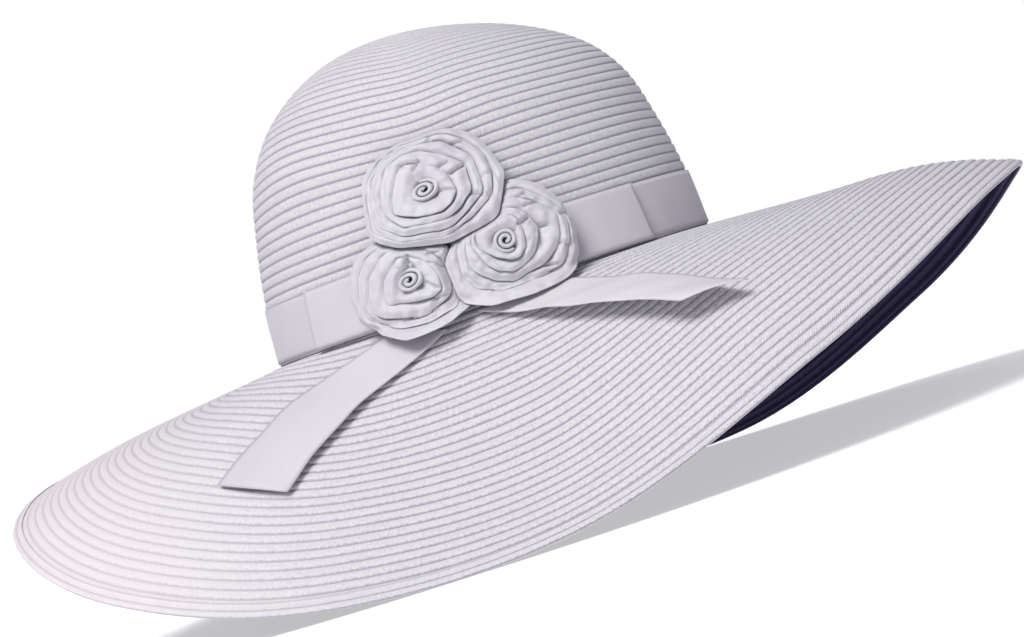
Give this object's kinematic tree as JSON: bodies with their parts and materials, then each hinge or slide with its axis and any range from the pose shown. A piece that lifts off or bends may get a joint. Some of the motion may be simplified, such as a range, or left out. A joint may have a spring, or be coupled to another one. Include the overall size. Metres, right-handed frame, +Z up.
{
  "type": "floppy sun hat",
  "caption": "Wide-brimmed floppy sun hat of sewn straw braid with a domed crown, ribbon band, folded ribbon roses and ribbon tails.",
  "frame": {"origin": "on the surface that the hat rests on, under the middle of its box", "axes": "+Z up through the crown, -Y towards the roses, +X towards the brim's raised side"},
  "size_m": [0.442, 0.3784, 0.211],
  "materials": {
    "straw_braid": "white paper straw braid sewn in rows, matt, dark inside the brim",
    "straw_edge": "doubled straw braid row, matt",
    "ribbon": "plain white ribbon with a fine rib, soft sheen",
    "rose_ribbon": "folded white ribbon, soft sheen"
  },
  "bodies": {
    "root": {"crown": "straw_braid", "brim": "straw_braid", "brim_edge": "straw_edge", "hat_band": "ribbon", "front_ribbon": "ribbon", "rose_upper": "rose_ribbon", "rose_right": "rose_ribbon", "rose_left": "rose_ribbon", "tail_left": "ribbon", "tail_right": "ribbon"}
  },
  "joints": []
}
